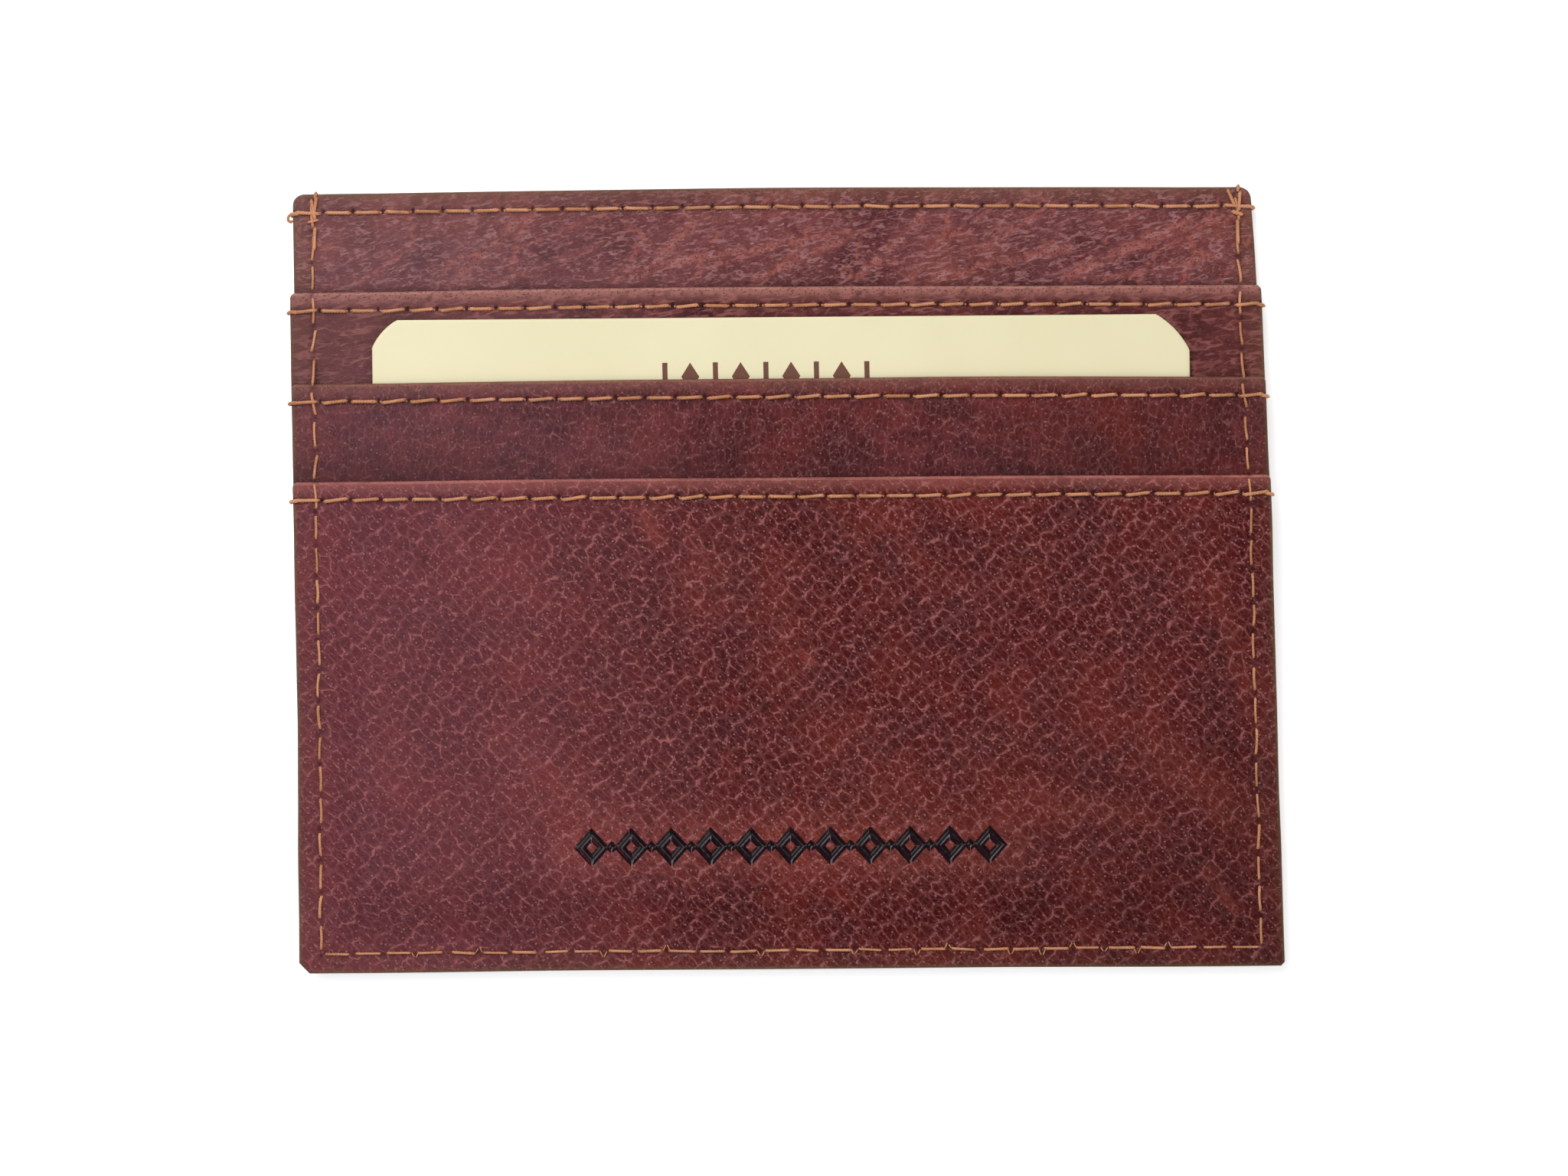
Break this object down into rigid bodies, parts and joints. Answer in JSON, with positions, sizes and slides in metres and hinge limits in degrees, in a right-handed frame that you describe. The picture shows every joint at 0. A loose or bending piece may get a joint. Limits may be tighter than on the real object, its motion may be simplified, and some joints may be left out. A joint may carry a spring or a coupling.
{
  "type": "card holder",
  "caption": "Slim turned-edge leather card holder with stepped front card pockets, an open centre pocket and a removable filler card.",
  "frame": {"origin": "middle of the back face, on the surface that the holder lies on", "axes": "+X along the width, to the right seen from the front; +Y towards the pocket mouths; +Z out of the front face"},
  "size_m": [0.1034, 0.082, 0.0058],
  "materials": {
    "leather": "pebbled pull-up leather, dark red-brown, satin",
    "leather_back": "pebbled pull-up leather, dark red-brown, satin",
    "lining_fabric": "fine twill lining, dark brown, matt",
    "thread": "twisted polyester thread, orange tan",
    "card_stock": "uncoated card, cream",
    "foil": "glossy dark stamping foil"
  },
  "bodies": {
    "holder": {"back_panel": "leather_back", "back_lining": "lining_fabric", "centre_wall": "leather", "centre_wall_lining": "lining_fabric", "upper_pocket_strip": "leather", "upper_pocket_lining": "lining_fabric", "middle_pocket_strip": "leather", "middle_pocket_lining": "lining_fabric", "front_pocket_panel": "leather", "front_pocket_lining": "lining_fabric", "stamp_foil": "foil", "back_hem_seam": "thread", "centre_wall_hem_seam": "thread", "upper_pocket_hem_seam": "thread", "middle_pocket_hem_seam": "thread", "front_pocket_hem_seam": "thread", "upper_pocket_base_seam": "thread", "middle_pocket_base_seam": "thread", "body_seam": "thread"},
    "card": {"insert_card": "card_stock"}
  },
  "joints": [
    {"name": "card_slide", "type": "slide", "parent": "holder", "child": "card", "axis": [0, 1, 0], "range_m": [0, 0.05]}
  ]
}
